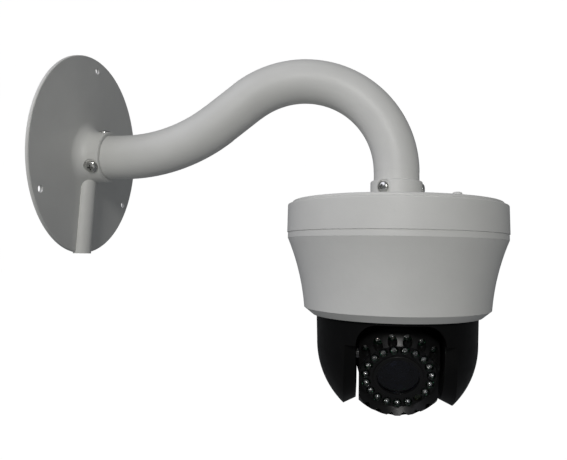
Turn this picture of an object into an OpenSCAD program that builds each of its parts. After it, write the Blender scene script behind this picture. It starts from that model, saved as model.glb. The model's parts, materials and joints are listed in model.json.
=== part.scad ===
// Pan and tilt dome camera hanging from a gooseneck wall bracket.
// Lengths are in millimetres and angles in degrees. The origin is the centre of the wall
// plate's back face: +X runs out along the arm, the lens faces -Y, and +Z is up.

/* [Wall plate] */
// Diameter of the round wall plate
plate_d = 143.6; // [141:0.1:150]
// Thickness of the wall plate
plate_t = 2; // [1.5:0.1:2.5]
// Diameter of the circle through the three wall bolt holes
bolt_circle_d = 128; // [124:1:130]
// Diameter of each wall bolt hole
bolt_hole_d = 5; // [4:0.1:6]
// How far the arm's axis lies below the plate's centre
arm_drop = 2; // [0:0.5:4]
// Outer radius of the half-round cable hood on the plate
hood_r = 6.7; // [6.2:0.1:7.2]
// How far the cable hood lies towards the lens side of the plate's centre
hood_offset = 2.5; // [0:0.5:4]

/* [Gooseneck arm] */
// Outer diameter of the arm's tube
tube_d = 32; // [30:0.5:32]
// Wall thickness of the arm's tube
tube_wall = 2; // [1.5:0.1:2.5]
// Distance from the wall to the dome's axis
reach = 226.4; // [222:0.1:240]
// Angle of the rising stretch above level
rise = 39; // [35:1:42]
// Centreline radius of the bend that lifts the arm
up_bend_r = 112; // [105:1:115]
// Centreline radius of the bend that turns the arm down
over_bend_r = 66.5; // [60:0.5:68]
// Length of the straight stretch next to the wall collar
first_straight = 10; // [8:0.5:12]

/* [Dome housing] */
// Outer diameter of the housing ring
housing_d = 150; // [148:1:156]
// Wall thickness of the cast housing shells
housing_wall = 2.6; // [2.2:0.1:3]
// Height of the housing ring
ring_h = 18.8; // [17:0.1:20]
// Height of the upright lip at the top of the lower housing
lip_h = 4; // [3:0.5:5]
// Height of the tapered part of the lower housing
taper_h = 45.1; // [45:0.1:46]
// Height of the chamfered rim at the bottom of the lower housing
rim_h = 4.5; // [4:0.1:5]

/* [Pan head] */
// Radius of the black shroud
shroud_r = 54; // [53:0.1:54.3]
// Wall thickness of the shroud
shroud_wall = 2.2; // [2:0.1:2.4]
// Clear width of the slot that the camera ball tilts in
slot_w = 53.6; // [53:0.2:56]
// Angle that the head is panned to at rest, towards +X
pan_rest = 2; // [-20:1:20]

/* [Camera ball] */
// Radius of the camera ball
ball_r = 39.1; // [38.5:0.1:39.5]
// Width of the ball across its two flats
ball_w = 49.8; // [49.4:0.2:51]
// Wall thickness of the ball's shells
ball_wall = 2.2; // [2:0.1:2.4]
// Angle that the lens looks below level at rest
tilt_rest = 30; // [0:1:90]
// Number of places in the ring of lamps round the lens, one of which is the light sensor
ring_places = 19; // [15:1:19]
// Number of lamps in the arc above the ring, and in the one below it
arc_places = 6; // [4:1:6]

/* [Drives] */
// Teeth on the large pan pulley
pan_teeth = 84; // [77:7:84]
// Teeth on the large tilt pulley
tilt_teeth = 36; // [36:2:38]
// Teeth on each motor's pulley
motor_teeth = 18; // [16:1:18]

/* [Hidden] */
$fn = 96;
overlap = 1;          // how far a cut runs past the face it opens
running_gap = 0.06;   // radial clearance of a shaft that turns in a bore
seat_gap = 0.03;      // radial clearance of fixed parts that are pushed together
cut_h = 200;          // a height that is past every part of the head
screw_slack = 0.3;    // how much wider a screw's hole is than its shank

// Wall plate and its collar
arm_z = -arm_drop;
collar_r = tube_d / 2 + 2.5;
collar_end_x = 17.4;
collar_edge = 0.8;
flare_r = 7.5;
tube_start_x = plate_t + 5.5;        // leaves room for the cable to turn down behind the tube
wire_hole_r = 12.8;
plate_edge = 0.7;
hood_wall = 1.6;
hood_end_z = -plate_d / 2 - 0.3;
hood_top_z = arm_z - collar_r + 2;
hood_bore_top_z = arm_z - wire_hole_r + 3;

// Collar screws
collar_screw_x = 11.8;
screw_head_d = 8;
screw_head_h = 2.6;
screw_d = 4;
screw_len = 4.6;
spot_face_d = 10.4;
seat_depth = 1.2;

// Gooseneck
tube_r = tube_d / 2;
straight_inset = 0.12;
run_in = 0.5;
up_bend_x = collar_end_x + first_straight;
over_bend_x = reach - over_bend_r;
slope_len = (over_bend_x - over_bend_r * sin(rise) - up_bend_x - up_bend_r * sin(rise)) / cos(rise);
slope_start = [up_bend_x + up_bend_r * sin(rise), 0, arm_z + up_bend_r * (1 - cos(rise))];
over_bend_z = slope_start[2] + slope_len * sin(rise) - over_bend_r * cos(rise);

// Heights down the dome
dome_collar_r = tube_r + 2.2;
dome_collar_z = -19;
cap_top_z = -34.3;
cap_t = 2.3;
cap_edge = 1.4;
ring_top_z = cap_top_z - cap_t;
seam_z = ring_top_z - ring_h;
lip_z = seam_z - lip_h;
taper_z = lip_z - taper_h;
rim_z = taper_z - rim_h;
tube_end_z = cap_top_z + 1.3;
dome_screw_z = -24.5;
dome_collar_edge = 1.6;

// Dome radii
housing_r = housing_d / 2;
cap_r = housing_r - 3;
gasket_t = 0.5;
spigot_r = housing_r - housing_wall - 0.4;
spigot_wall = 2.2;
ring_flange_r = 63;
ring_flange_t = 2.6;
ring_edge = 0.9;
ledge_r = 63.4;
ledge_t = 2.4;
spigot_top_z = seam_z + 5;
shroud_gap = 1.2;
rim_hole_r = shroud_r + shroud_gap;
rim_r = 56.6;
boss_r = 3.4;
boss_h = 12;
boss_circle_r = spigot_r - spigot_wall - 2.6;

// Concave taper: an arc that starts at taper_top_a off upright and ends at taper_end_a
taper_top_a = 24;
taper_end_a = 6;
taper_r = taper_h / (sin(taper_top_a) - sin(taper_end_a));
lip_r = housing_r - 0.5;
taper_top_r = lip_r - 0.1;
taper_centre = [taper_top_r + taper_r * cos(taper_top_a), lip_z - taper_r * sin(taper_top_a)];
taper_end_r = taper_centre[0] - taper_r * cos(taper_end_a);

// Chassis and its drive
post_circle_r = 57;
post_r = 3.5;
post_socket_depth = 3.4;
cross_screw = [5.4, 2, 2.9];         // head diameter, head height and shank diameter of a small screw
cross_screw_hole_r = 1.5;
cover_screw_a = -58.7;
cover_screw_r = 66;
cover_head_d = 5.8;
cover_head_h = 1.9;
chassis_top_z = -60;
chassis_t = 2;
chassis_r = 66;
hub_r = 20;
hub_top_z = -54;
bearing_r = 16;
bearing_mid_r = 13;
bearing_h = 7;
bearing_z = hub_top_z - bearing_h;
bond_gap = 0.01;      // radial clearance of turning parts that are fixed to each other
shaft_r = 10;
shaft_bore_r = 7.5;
shaft_top_z = -50;
tooth_pitch = 2.094;                 // arc length from tooth to tooth at the tips
belt_gap = 0.35;
belt_t = 1.3;
belt_w = 5;
pulley_w = 6;
flange_t = 1;
pan_pulley_r = pan_teeth * tooth_pitch / (2 * PI);
tilt_pulley_r = tilt_teeth * tooth_pitch / (2 * PI);
motor_pulley_r = motor_teeth * tooth_pitch / (2 * PI);
pan_motor_y = 42;
pan_motor_r = 17.5;
pan_motor_h = 18;
motor_shaft_r = 2.5;
pan_pulley_z = -74;
board_z = -47.6;
board_t = 1.6;
board_r = 60;
board_hole_r = 1.5;
board_places = [[-48, -12], [48, -12], [-20, -48], [20, -48]];
standoff_r = 2.6;
stud_r = 1.45;
slip_ring_r = 6.5;
slip_ring_end_z = -72;
bracket_z = -48.3;
bracket_t = 1.5;
bracket_w = 20;
bracket_x = 24;

// Pan head
turntable_z = -81;
turntable_t = 3;
turntable_r = 50;
head_board_size = [50, 40];
head_board_drop = 4.6;
head_spacer_h = 3;
head_board_places = [[-20, -15], [20, -15], [-20, 15], [20, 15]];
shroud_ball_z = -125.5;
shroud_ball_r = shroud_r - 0.8;          // the shroud draws in a little above its ball end
shroud_draft_z = -106;
shroud_top_z = -96;
ball_z = -133.9;
well_r = ball_r + 2.9;
slot_top_z = -110.6;
slot_back_z = -128;
slot_corner_r = 13;
well_end_z = -164;                   // lowest edge of the wall behind the ball
bevel_z = slot_top_z - slot_corner_r;
bevel_in = [slot_w / 2, 38.4];       // distance across from the middle, and from the bevel's axis
bevel_out = [35, 42.2];
skirt_screw_z = -100.5;
tab_t = 2.6;
tab_w = 11;
arm_in_x = 31;
arm_t = 3;
arm_half_w = 14;
axle_r = 4;
bush_r = 7;
tilt_motor_z = ball_z + 26;
tilt_motor_r = 9;
tilt_belt_x = 36.2;
motor_plate_x = 43.4;
motor_plate_t = 1.2;
tilt_motor_len = 6;
tilt_shaft_r = 1.5;

// Camera ball, in its own frame: x across, y up the face, z out along the lens's axis
flat_x = ball_w / 2;
ball_split = 6;
face_z = 23.5;
face_t = 2;
lamp_collar = [2.9, 1];              // radius and height of the collar at a lamp's foot
ring_lamp_h = 11.1;
arc_lamp_h = 8.2;
sensor_h = 7.2;
post_hub_r = 25.2;
axle_screw = [3.6, 1.9];             // head and shank diameter
sensor_board_z = -4;
face_r = 24;
mouth_r = 27.3;
cap_edge_r = 33.9;                      // edge of the ball's front, with a straight neck behind it
neck_in_r = cap_edge_r - 1.6;
neck_flange_t = 2;
mouth_z = sqrt(pow(ball_r, 2) - pow(mouth_r, 2));
lamp_r = 2.5;
lamp_hole_r = 3;
ring_r = 20.7;
ring_first_a = -9.3;
sensor_place = 8;
arc_r = 29.1;
arc_step = 17.93;
led_board_z = 13.4;
led_board_t = 1.6;
lamp_base_z = led_board_z + led_board_t;
window_r = 13.6;
window_rim_r = 16.07;
barrel_r = 13;
flange_r = 12;
axle_screw_places = [[8.6, 4.5], [8.6, -4.5], [-6.6, 6.6], [-6.6, -6.6]];

// ---------------------------------------------------------------- frames and repeats

// Local +Z along the arm's axis at the wall, local -X upwards
module on_wall_collar() {
    translate([0, 0, arm_z]) rotate([0, 90, 0]) children();
}

module on_dome() {
    translate([reach, 0, 0]) children();
}

module on_pan_head() {
    on_dome() rotate([0, 0, pan_rest]) children();
}

// Local z runs out along the lens's axis, x across and y up the face
module on_lens() {
    on_pan_head() translate([0, 0, ball_z]) rotate([tilt_rest, 0, 0]) rotate([90, 0, 0]) children();
}

module around(count, first = 0) {
    for (i = [0 : count - 1]) rotate([0, 0, first + i * 360 / count]) children();
}

module both_sides() {
    for (side = [0, 1]) mirror([side, 0, 0]) children();
}

// Turns a local +Z piece to point along +X
module facing_x() {
    rotate([0, 90, 0]) children();
}

// ---------------------------------------------------------------- shared shapes

// Half section of a ring, with its top outer corner rounded
module ring_section(r_in, r_out, z_lo, z_hi, edge = 0) {
    difference() {
        translate([r_in, z_lo]) square([r_out - r_in, z_hi - z_lo]);
        if (edge > 0) {
            translate([r_out - edge, z_hi - edge]) difference() {
                square(edge + overlap);
                circle(edge);
            }
        }
    }
}

module ring(r_in, r_out, z_lo, z_hi, edge = 0) {
    rotate_extrude() ring_section(r_in, r_out, z_lo, z_hi, edge);
}

// Cross-recessed screw: its seat is at z = 0 and its shank runs down
module pan_screw(head_d, head_h, d, len) {
    dome_r = (pow(head_d / 2, 2) + pow(head_h * 0.6, 2)) / (2 * head_h * 0.6);
    difference() {
        intersection() {
            cylinder(h = head_h, d = head_d);
            translate([0, 0, head_h - dome_r]) sphere(dome_r);
        }
        cross_recess(head_d, head_h);
    }
    translate([0, 0, -len]) cylinder(h = len + head_h / 4, d = d);
}

module cross_recess(head_d, top_z) {
    arm = [head_d * 0.58, head_d * 0.13, top_z];
    for (turn = [0, 90]) rotate([0, 0, turn]) {
        translate([-arm[0] / 2, -arm[1] / 2, top_z * 0.45]) cube(arm);
    }
}

// Countersunk screw with its flat head flush at z = 0 and its shank running down
module flush_screw(head_d, d, len) {
    recess = [head_d * 0.5, head_d * 0.12, head_d];
    difference() {
        union() {
            translate([0, 0, -head_d / 4]) cylinder(h = head_d / 4, d1 = d, d2 = head_d);
            translate([0, 0, -len]) cylinder(h = len - head_d / 8, d = d);
        }
        for (turn = [0, 90]) rotate([0, 0, turn]) {
            translate([-recess[0] / 2, -recess[1] / 2, -head_d / 7]) cube(recess);
        }
    }
}

// The room that a flush screw takes in the part it holds
module flush_screw_hole(head_d, d, len) {
    translate([0, 0, -head_d / 4]) cylinder(h = head_d / 4 + 0.01, d1 = d + 0.2, d2 = head_d + 0.2);
    translate([0, 0, -len]) cylinder(h = len, d = d + 0.2);
    cylinder(h = overlap, d = head_d + 0.2);
}

// Toothed belt pulley from z = 0 up, with a flange at each end
module pulley(teeth, bore_r) {
    tip_r = teeth * tooth_pitch / (2 * PI);
    groove_r = tooth_pitch / 4;
    flange_r = tip_r + 1.6;
    difference() {
        union() {
            linear_extrude(pulley_w) difference() {
                circle(tip_r);
                around(teeth) translate([tip_r, 0]) circle(groove_r, $fn = 16);
            }
            for (z = [-flange_t, pulley_w]) translate([0, 0, z]) cylinder(h = flange_t, r = flange_r);
        }
        translate([0, 0, -flange_t - overlap]) cylinder(h = pulley_w + 2 * (flange_t + overlap), r = bore_r);
    }
}

// Filled outline of a belt round a pulley at the origin and a smaller one at [0, span]
module belt_outline(r_big, r_small, span) {
    lean = asin((r_big - r_small) / span);
    circle(r_big);
    translate([0, span]) circle(r_small);
    polygon([
        [r_big * cos(lean), r_big * sin(lean)],
        [r_small * cos(lean), span + r_small * sin(lean)],
        [-r_small * cos(lean), span + r_small * sin(lean)],
        [-r_big * cos(lean), r_big * sin(lean)]
    ]);
}

module belt(r_big, r_small, span) {
    linear_extrude(belt_w) difference() {
        belt_outline(r_big + belt_gap + belt_t, r_small + belt_gap + belt_t, span);
        belt_outline(r_big + belt_gap, r_small + belt_gap, span);
    }
}

// Lamp with a domed tip, standing on z = 0
module lamp(height) {
    rotate_extrude() {
        square([lamp_r, height - lamp_r]);
        intersection() {
            translate([0, height - lamp_r]) circle(lamp_r);
            translate([0, height - lamp_r - 0.01]) square(lamp_r + overlap);
        }
        square(lamp_collar);
    }
}

// ---------------------------------------------------------------- wall plate

module collar_screw_places() {
    on_wall_collar() around(3, 60) {
        translate([collar_r - seat_depth, 0, collar_screw_x]) facing_x() children();
    }
}

// Section of the cable hood in plan: x is along the plate, y is out from the wall
module hood_section(r) {
    translate([0, plate_t]) circle(r);
    translate([-r, 0]) square([2 * r, plate_t]);
}

module hood(r, top_z, end_z) {
    translate([0, -hood_offset, end_z]) linear_extrude(top_z - end_z) intersection() {
        rotate([0, 0, -90]) hood_section(r);
        translate([0, -plate_d / 2]) square([plate_d / 2, plate_d]);
    }
}

module wall_plate() {
    color("gainsboro") difference() {
        union() {
            facing_x() ring(0, plate_d / 2, 0, plate_t, plate_edge);
            on_wall_collar() rotate_extrude() {
                ring_section(0, collar_r, 0, collar_end_x, collar_edge);
                difference() {
                    translate([collar_r - 0.01, plate_t - 0.01]) square(flare_r);
                    translate([collar_r + flare_r, plate_t + flare_r]) circle(flare_r);
                }
            }
            hood(hood_r, hood_top_z, hood_end_z);
        }
        on_wall_collar() {
            translate([0, 0, tube_start_x]) cylinder(h = collar_end_x, r = tube_r + seat_gap);
            translate([0, 0, -overlap]) cylinder(h = collar_end_x, r = wire_hole_r);
        }
        for (x = [-overlap, 0]) translate([x, 0, 0]) {
            hood(hood_r - hood_wall, hood_bore_top_z, hood_end_z - overlap);
        }
        facing_x() around(3, 180) translate([bolt_circle_d / 2, 0, -overlap]) {
            cylinder(h = plate_t + 2 * overlap, d = bolt_hole_d);
        }
        collar_screw_places() {
            cylinder(h = collar_r, d = spot_face_d);
            translate([0, 0, -screw_len]) cylinder(h = 2 * screw_len, d = screw_d + screw_slack);
        }
    }
}

module wall_collar_screws() {
    color("silver") collar_screw_places() pan_screw(screw_head_d, screw_head_h, screw_d - 0.1, screw_len);
}

// ---------------------------------------------------------------- gooseneck arm

// Section of the tube. The straight stretches are a hair thinner than the bends, and run a
// little way into the bends' walls.
module tube_section(inset = 0) {
    difference() {
        circle(tube_r - inset);
        circle(tube_r - tube_wall + inset);
    }
}

module straight(len) {
    linear_extrude(len) tube_section(straight_inset);
}

module arm_tube() {
    color("gainsboro") {
        difference() {
            translate([tube_start_x, 0, arm_z]) facing_x() straight(up_bend_x - tube_start_x + run_in);
            collar_screw_places() tube_screw_hole();
        }
        translate([up_bend_x, 0, arm_z + up_bend_r]) rotate([90, 0, 0]) rotate([0, 0, -90]) {
            rotate_extrude(angle = rise) translate([up_bend_r, 0]) tube_section();
        }
        translate(slope_start) rotate([0, 90 - rise, 0]) {
            translate([0, 0, -run_in]) straight(slope_len + 2 * run_in);
        }
        translate([over_bend_x, 0, over_bend_z]) rotate([90, 0, 0]) {
            rotate_extrude(angle = rise + 90) translate([over_bend_r, 0]) tube_section();
        }
        difference() {
            translate([reach, 0, tube_end_z]) straight(over_bend_z - tube_end_z + run_in);
            dome_screw_places() tube_screw_hole();
        }
    }
}

module tube_screw_hole() {
    translate([0, 0, -screw_len - overlap]) cylinder(h = screw_len + overlap, d = screw_d);
}

// ---------------------------------------------------------------- dome housing

module dome_screw_places() {
    on_dome() around(3) translate([dome_collar_r - seat_depth, 0, dome_screw_z]) facing_x() children();
}

module dome_collar_screws() {
    color("silver") dome_screw_places() pan_screw(screw_head_d, screw_head_h, screw_d - 0.1, screw_len);
}

module cover_screw_places() {
    on_dome() around(3, cover_screw_a) translate([cover_screw_r, 0, cap_top_z]) children();
}

module top_cover() {
    color("whitesmoke") difference() {
        union() {
            on_dome() {
                ring(tube_r + seat_gap, dome_collar_r, ring_top_z, dome_collar_z, dome_collar_edge);
                ring(wire_hole_r, cap_r, ring_top_z, cap_top_z, cap_edge);
                ring(wire_hole_r, dome_collar_r + 2, ring_top_z - 1.6, ring_top_z + overlap);
            }
            chassis_post_places(ring_top_z - post_socket_depth) {
                cylinder(h = post_socket_depth + overlap, r = post_r + 2);
            }
        }
        on_dome() translate([0, 0, tube_end_z]) cylinder(h = cut_h, r = tube_r + seat_gap);
        dome_screw_places() {
            cylinder(h = dome_collar_r, d = spot_face_d);
            translate([0, 0, -screw_len]) cylinder(h = 2 * screw_len, d = screw_d + screw_slack);
        }
        cover_screw_places() translate([0, 0, -cap_t - overlap]) {
            cylinder(h = cap_t + 2 * overlap, r = cross_screw_hole_r + 0.1);
        }
        chassis_post_places(ring_top_z - post_socket_depth - overlap) {
            cylinder(h = post_socket_depth + 1.6, r = post_r + seat_gap);
        }
    }
}

module cover_screws() {
    color("whitesmoke") cover_screw_places() {
        pan_screw(cover_head_d, cover_head_h, cross_screw[2], cap_t + gasket_t + ring_flange_t);
    }
}

module cover_gasket() {
    color("dimgray") difference() {
        on_dome() ring(ring_flange_r, cap_r - 1.2, ring_top_z - gasket_t, ring_top_z);
        cover_screw_places() translate([0, 0, -10]) cylinder(h = 10, r = cross_screw_hole_r + 0.2);
        post_socket_room();
    }
}

module housing_screw_places() {
    on_dome() around(4) translate([boss_circle_r, 0, spigot_top_z]) children();
}

module housing_ring() {
    color("whitesmoke") difference() {
        on_dome() rotate_extrude() {
            flange_top_z = ring_top_z - gasket_t;
            ring_section(housing_r - housing_wall, housing_r, seam_z, ring_top_z, ring_edge);
            ring_section(ring_flange_r, housing_r - 1, flange_top_z - ring_flange_t, flange_top_z);
            ring_section(ledge_r, housing_r - 1, spigot_top_z, spigot_top_z + ledge_t);
        }
        cover_screw_places() translate([0, 0, -boss_h]) cylinder(h = boss_h, r = cross_screw_hole_r);
        post_socket_room();
        housing_screw_places() translate([0, 0, -overlap]) {
            cylinder(h = ledge_t + 2 * overlap, r = cross_screw_hole_r + 0.1);
        }
    }
}

// The room that the sockets under the top cover take
module post_socket_room() {
    chassis_post_places(ring_top_z - post_socket_depth - overlap) cylinder(h = 5, r = post_r + 2.2);
}

module seam_gasket() {
    gasket_gap = 0.02;
    color("dimgray") on_dome() {
        ring(spigot_r + gasket_gap, housing_r - housing_wall - gasket_gap, seam_z + 0.2, seam_z + 3.2);
    }
}

// Half section of the tapered shell: the outside for inset = 0
module taper_section(inset) {
    polygon([
        [rim_hole_r, rim_z + inset],
        [rim_r - inset * 0.4, rim_z + inset],
        [taper_end_r - inset, taper_z + inset * 0.4],
        [taper_end_r - inset, taper_z + inset + 1],
        [rim_hole_r, taper_z + inset + 1]
    ]);
    difference() {
        translate([rim_hole_r, taper_z + inset]) {
            square([taper_top_r - inset - rim_hole_r, taper_h - inset]);
        }
        translate(taper_centre) circle(taper_r + inset);
    }
}

module lower_housing() {
    color("whitesmoke") difference() {
        union() {
            on_dome() rotate_extrude() {
                ring_section(spigot_r - spigot_wall, lip_r, lip_z, seam_z);
                ring_section(spigot_r - spigot_wall, spigot_r, lip_z, spigot_top_z);
                difference() {
                    taper_section(0);
                    taper_section(housing_wall);
                    translate([0, taper_z + housing_wall]) square([rim_hole_r + 0.5, taper_h]);
                }
            }
            housing_screw_places() translate([0, 0, -boss_h]) cylinder(h = boss_h, r = boss_r);
        }
        housing_screw_places() translate([0, 0, overlap - boss_h]) {
            cylinder(h = boss_h, r = cross_screw_hole_r);
        }
    }
}

module housing_screws() {
    color("silver") housing_screw_places() translate([0, 0, ledge_t]) small_screw(9);
}

module small_screw(len) {
    pan_screw(cross_screw[0], cross_screw[1], cross_screw[2], len);
}

// ---------------------------------------------------------------- fixed chassis

module chassis_posts() {
    color("silver") chassis_post_places(chassis_top_z) difference() {
        cylinder(h = ring_top_z - chassis_top_z, r = post_r);
        translate([0, 0, -overlap]) cylinder(h = 8, r = cross_screw_hole_r);
    }
}

module chassis_post_places(z) {
    on_dome() around(4, 45) translate([post_circle_r, 0, z]) children();
}

module chassis_plate() {
    motor_hole_r = 5.5;
    boss_room_r = 7;
    color("darkgray") difference() {
        on_dome() {
            ring(0, chassis_r, chassis_top_z - chassis_t, chassis_top_z);
            ring(0, hub_r, chassis_top_z - chassis_t, hub_top_z);
        }
        on_dome() {
            translate([0, 0, bearing_z]) cylinder(h = cut_h, r = bearing_r + seat_gap);
            translate([0, 0, -cut_h]) cylinder(h = cut_h, r = bearing_r - 1.5);
            translate([0, pan_motor_y, -cut_h / 2]) cylinder(h = cut_h / 2, r = motor_hole_r);
            around(4) translate([chassis_r, 0, -cut_h / 2]) cylinder(h = cut_h / 2, r = boss_room_r);
        }
        chassis_post_places(-cut_h / 2) cylinder(h = cut_h / 2, r = cross_screw_hole_r + 0.1);
        bracket_screw_holes();
    }
}

module bracket_screw_holes() {
    on_dome() both_sides() translate([bracket_x + 4, 0, -cut_h / 2]) cylinder(h = cut_h / 2, r = 1.3);
}

module chassis_screws() {
    color("silver") chassis_post_places(chassis_top_z - chassis_t) mirror([0, 0, 1]) small_screw(7);
}

module main_board() {
    through = board_t + 2 * overlap;
    color("darkgreen") difference() {
        on_dome() translate([0, 0, board_z]) difference() {
            cylinder(h = board_t, r = board_r);
            translate([0, 0, -overlap]) {
                cylinder(h = through, r = bracket_x + 8);
                translate([-board_r, 8, 0]) cube([2 * board_r, board_r, through]);
                for (p = board_places) translate([p[0], p[1], 0]) cylinder(h = through, r = board_hole_r);
            }
        }
        chassis_post_places(board_z - overlap) cylinder(h = through, r = post_r + 1);
    }
}

module board_components() {
    chips = [[-7, -44, 14, 9, 1.4], [-36, -30, 9, 9, 1.6]];
    sockets = [[42, -26, 6, 9, 5], [-52, -28, 6, 10, 5]];
    capacitors_x = [26, 35];
    resistors_x = [-52, -50, -48];
    on_dome() translate([0, 0, board_z + board_t]) {
        color("black") for (c = chips) translate([c[0], c[1], 0]) cube([c[2], c[3], c[4]]);
        color("white") for (c = sockets) translate([c[0], c[1], 0]) cube([c[2], c[3], c[4]]);
        color("black") for (x = capacitors_x) translate([x, -28, 0]) cylinder(h = 7, r = 3.6);
        color("silver") for (x = resistors_x) translate([x, 0, 0]) cylinder(h = 1, r = 0.6);
    }
}

module board_standoffs() {
    height = board_z - chassis_top_z;
    color("gold") on_dome() for (p = board_places) translate([p[0], p[1], chassis_top_z]) {
        cylinder(h = height, r = standoff_r, $fn = 6);
        cylinder(h = height + board_t + 2, r = stud_r);
    }
}

module pan_motor() {
    shaft_room = 9;
    color("dimgray") difference() {
        on_dome() translate([0, pan_motor_y, chassis_top_z]) {
            ring(0, pan_motor_r, 0, pan_motor_h, 1);
            translate([0, 0, -chassis_t]) cylinder(h = chassis_t + 1, r = 5.45);
        }
        on_dome() translate([0, pan_motor_y, chassis_top_z - cut_h / 2]) {
            cylinder(h = cut_h / 2 + shaft_room, r = motor_shaft_r + running_gap);
        }
    }
}

module pan_motor_pulley() {
    foot_z = pan_pulley_z - flange_t;
    color("silver") on_dome() translate([0, pan_motor_y, 0]) {
        translate([0, 0, pan_pulley_z]) pulley(motor_teeth, motor_shaft_r - 0.5);
        translate([0, 0, foot_z]) cylinder(h = chassis_top_z + 8 - foot_z, r = motor_shaft_r);
    }
}

module pan_belt() {
    color("black") on_dome() translate([0, 0, pan_pulley_z + (pulley_w - belt_w) / 2]) {
        belt(pan_pulley_r, motor_pulley_r, pan_motor_y);
    }
}

module pan_bearing_outer() {
    color("silver") on_dome() ring(bearing_mid_r + running_gap, bearing_r, bearing_z, hub_top_z, 0.4);
}

module slip_ring_bracket() {
    foot_l = 9;
    color("silver") difference() {
        on_dome() {
            translate([-bracket_x, -bracket_w / 2, 0]) {
                translate([0, 0, bracket_z]) cube([2 * bracket_x, bracket_w, bracket_t]);
            }
            both_sides() translate([bracket_x - bracket_t, -bracket_w / 2, chassis_top_z]) {
                cube([bracket_t, bracket_w, bracket_z - chassis_top_z + bracket_t]);
                cube([foot_l, bracket_w, bracket_t]);
            }
        }
        on_dome() translate([0, 0, bracket_z - overlap]) {
            cylinder(h = bracket_t + 2 * overlap, r = slip_ring_r + seat_gap);
        }
        bracket_screw_holes();
    }
}

module slip_ring_stator() {
    flange_z = bracket_z + bracket_t;
    color("black") on_dome() {
        ring(0, slip_ring_r, slip_ring_end_z, flange_z + 1);
        ring(0, 11, flange_z, flange_z + bracket_t, 0.5);
    }
}

// ---------------------------------------------------------------- pan head

module pan_shaft() {
    color("silver") on_pan_head() {
        ring(shaft_bore_r, shaft_r, turntable_z + turntable_t, shaft_top_z, 0.4);
        ring(shaft_bore_r, shaft_r + 6, turntable_z + turntable_t, turntable_z + turntable_t + 2.8);
    }
}

module pan_bearing_inner() {
    color("silver") on_pan_head() ring(shaft_r + bond_gap, bearing_mid_r, bearing_z, hub_top_z, 0.4);
}

module shaft_collar() {
    color("dimgray") on_pan_head() {
        ring(shaft_r + bond_gap, bearing_mid_r - 0.6, hub_top_z, shaft_top_z - 0.4, 0.3);
    }
}

module pan_pulley() {
    color("white") on_pan_head() translate([0, 0, pan_pulley_z]) pulley(pan_teeth, shaft_r + bond_gap);
}

module slip_ring_rotor() {
    color("dimgray") on_pan_head() {
        ring(0, shaft_bore_r - bond_gap, turntable_z + turntable_t, slip_ring_end_z - 0.5);
    }
}

// Half section of the shroud's outline: a cylinder that draws in and ends in half a ball
module shroud_section(inset) {
    end_r = shroud_ball_r - inset;
    difference() {
        polygon([
            [0, shroud_top_z],
            [shroud_r - inset, shroud_top_z],
            [shroud_r - inset, shroud_draft_z],
            [end_r, shroud_ball_z],
            [end_r, shroud_ball_z - end_r],
            [0, shroud_ball_z - end_r]
        ]);
        translate([0, shroud_ball_z]) difference() {
            translate([0, -2 * end_r]) square(2 * end_r);
            circle(end_r);
        }
    }
}

// Slot opening seen along Y: a gate with round top corners
module slot_gate(top_z, grow) {
    half = slot_w / 2 + grow;
    corner = slot_corner_r + grow;
    translate([-half, -cut_h]) square([2 * half, cut_h + top_z + grow - corner]);
    translate([-half + corner, -cut_h]) square([2 * (half - corner), cut_h + top_z + grow]);
    for (side = [-1, 1]) translate([side * (half - corner), top_z + grow - corner]) circle(corner);
}

// The room that the ball tilts in
module ball_well(grow) {
    along_well(slot_w / 2 + grow) cylinder(h = slot_w + 2 * grow, r = well_r + grow);
    rotate([90, 0, 0]) linear_extrude(cut_h / 2) slot_gate(slot_top_z, grow);
    difference() {
        rotate([90, 0, 0]) translate([0, 0, -cut_h / 2]) {
            linear_extrude(cut_h / 2 + 0.01) slot_gate(slot_back_z, grow);
        }
        difference() {
            along_well(slot_w) cylinder(h = 2 * slot_w, r = well_r + shroud_wall - grow);
            translate([-slot_w, -cut_h, well_end_z + grow - cut_h]) cube([2 * slot_w, 2 * cut_h, cut_h]);
        }
    }
    slot_bevel(grow);
}

// Local +Z along the tilt axis, from half_w to one side of the middle
module along_well(half_w) {
    translate([-half_w, 0, ball_z]) facing_x() children();
}

// Section of the bevel beside the slot: x is out from the bevel's axis, y is across from the middle
module bevel_section(grow) {
    slope = (bevel_out[1] - bevel_in[1]) / (bevel_out[0] - bevel_in[0]);
    start_x = bevel_in[0] - 0.05;
    far_r = shroud_r + 12;
    lift = grow * sqrt(1 + slope * slope);
    polygon([
        [bevel_in[1] - slope * grow - lift, start_x - grow],
        [far_r, start_x + (far_r - bevel_in[1] + lift) / slope],
        [far_r, start_x - grow]
    ]);
}

// The bevel runs down both edges of the slot to the tips of the ears, then straight back
module slot_bevel(grow) {
    both_sides() translate([0, 0, bevel_z]) facing_x() {
        rotate([0, 0, -90]) rotate_extrude(angle = 90) bevel_section(grow);
        translate([0, cut_h, 0]) rotate([90, 0, 0]) linear_extrude(cut_h) bevel_section(grow);
    }
}

module shroud_screw_places() {
    on_pan_head() around(4, 45) translate([shroud_r, 0, skirt_screw_z]) facing_x() children();
}

module shroud() {
    color([0.06, 0.06, 0.06]) difference() {
        on_pan_head() difference() {
            rotate_extrude() shroud_section(0);
            difference() {
                rotate_extrude() shroud_section(shroud_wall);
                ball_well(shroud_wall);
            }
            ball_well(0);
            translate([0, 0, shroud_top_z - 0.5]) ring(0, shroud_r - shroud_wall, 0, overlap);
            along_well(slot_w / 2 + 3) cylinder(h = slot_w + 6, r = axle_r + 2);
        }
        shroud_screw_places() translate([0, 0, -8]) cylinder(h = 16, r = cross_screw_hole_r + 0.1);
    }
}

module shroud_screws() {
    color("silver") shroud_screw_places() pan_screw(5, 1.8, cross_screw[2], 5);
}

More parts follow.
